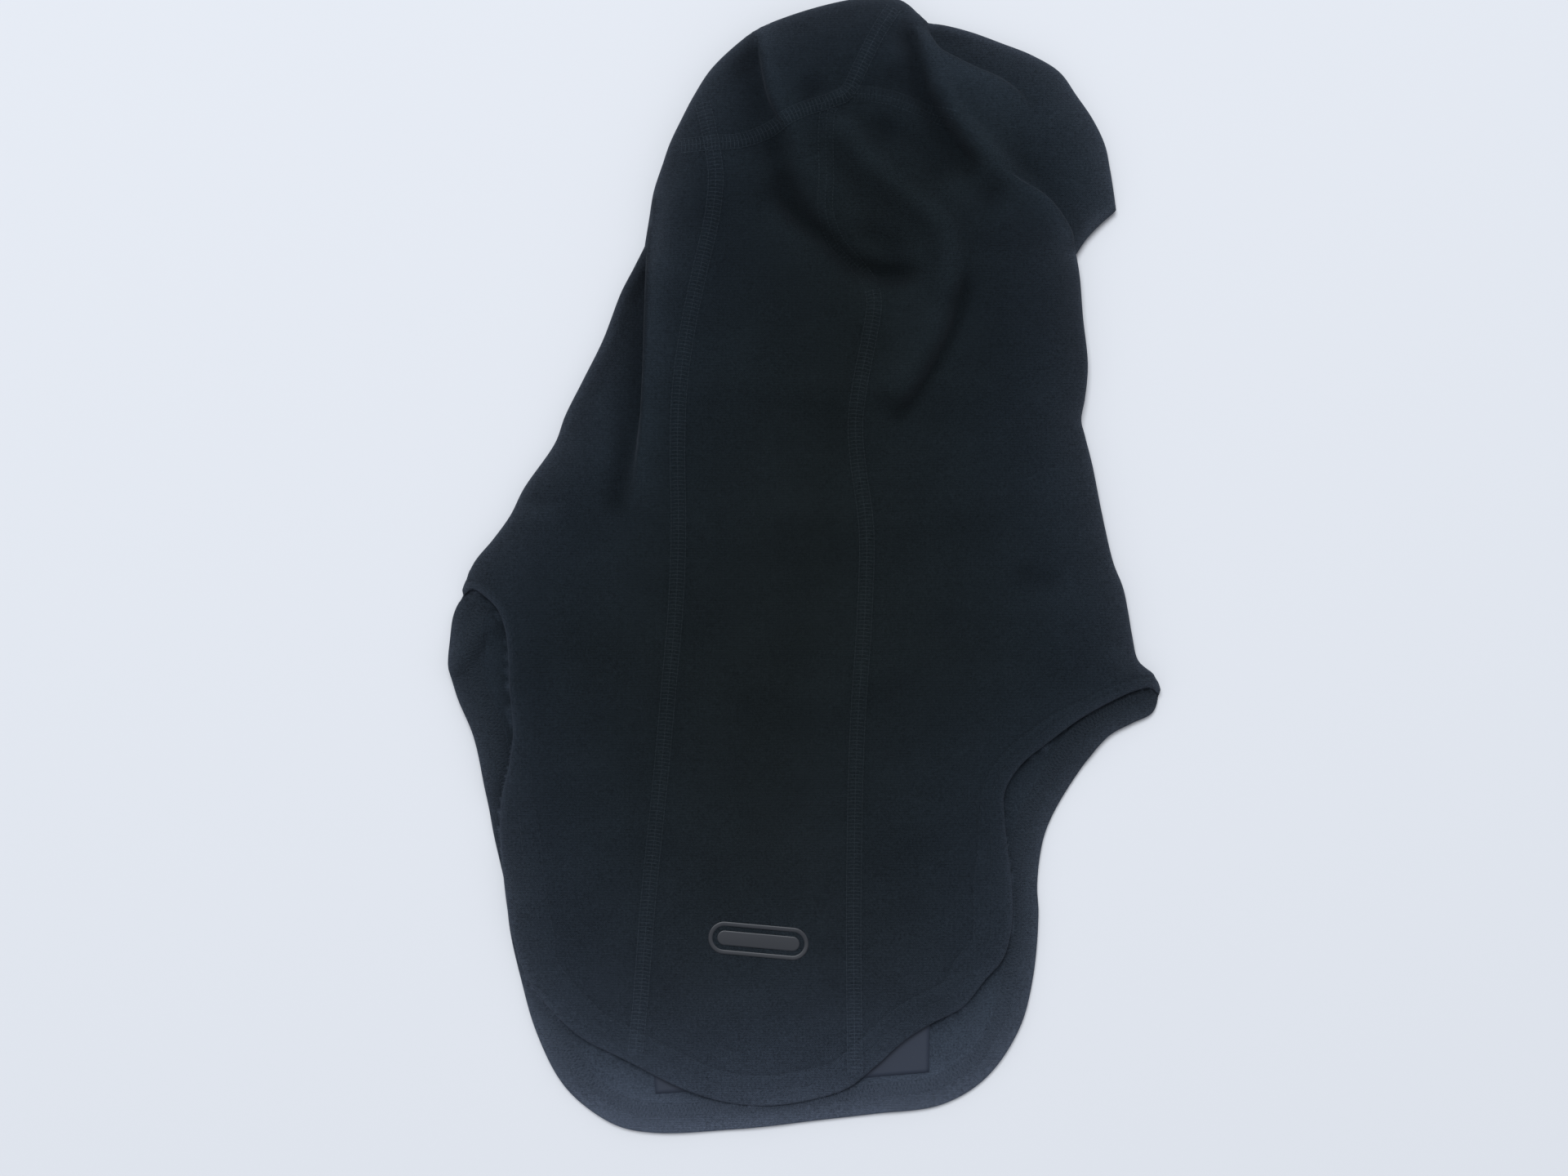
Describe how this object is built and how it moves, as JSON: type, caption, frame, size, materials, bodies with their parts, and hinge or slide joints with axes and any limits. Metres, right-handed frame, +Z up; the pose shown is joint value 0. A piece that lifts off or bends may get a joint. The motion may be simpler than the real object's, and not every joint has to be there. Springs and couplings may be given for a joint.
{
  "type": "balaclava",
  "caption": "Full-head knitted ski balaclava with long chest and back bibs, lying flat on its front, the back uppermost and a side seam either side of the back panel.",
  "frame": {"origin": "middle of the garment's footprint on the surface that it lies on", "axes": "+Z up, away from the surface and out of the wearer's back; +Y from the bibs to the crown; +X to the wearer's right"},
  "size_m": [0.3036, 0.4842, 0.0213],
  "materials": {
    "cloth": "fine black jersey knit, brushed, matt with a soft sheen at grazing angles",
    "hem": "the same black jersey turned up double in the hem",
    "thread": "black spun polyester sewing thread, flatlocked or coverstitched",
    "binding": "black elastane rib binding",
    "label": "dark grey woven satin, plain",
    "mark": "glossy black heat transfer film"
  },
  "bodies": {
    "hood": {"left_side_panel": "cloth", "left_front_panel": "cloth", "right_side_panel": "cloth", "right_front_panel": "cloth", "back_neck_panel": "cloth", "crown_left_panel": "cloth", "crown_centre_panel": "cloth", "crown_right_panel": "cloth", "front_centre_panel": "cloth", "brow_panel": "cloth", "left_back_seam": "thread", "right_back_seam": "thread", "crown_seam": "thread", "crown_left_seam": "thread", "crown_right_seam": "thread", "left_front_seam": "thread", "right_front_seam": "thread", "brow_seam_left": "thread", "brow_seam_right": "thread", "face_binding": "binding", "front_hem": "hem", "front_hem_stitching": "thread", "inner_label": "label"},
    "back_bib": {"back_bib_left_panel": "cloth", "back_bib_centre_panel": "cloth", "back_bib_right_panel": "cloth", "left_bib_seam": "thread", "right_bib_seam": "thread", "back_hem": "hem", "back_hem_stitching": "thread", "back_mark": "mark"}
  },
  "joints": [
    {"name": "back_bib_lift", "type": "hinge", "parent": "hood", "child": "back_bib", "pos_m": [0.006, -0.03, 0.01025], "axis": [-0.9923, 0.124, 0], "range_deg": [0, 100]}
  ]
}
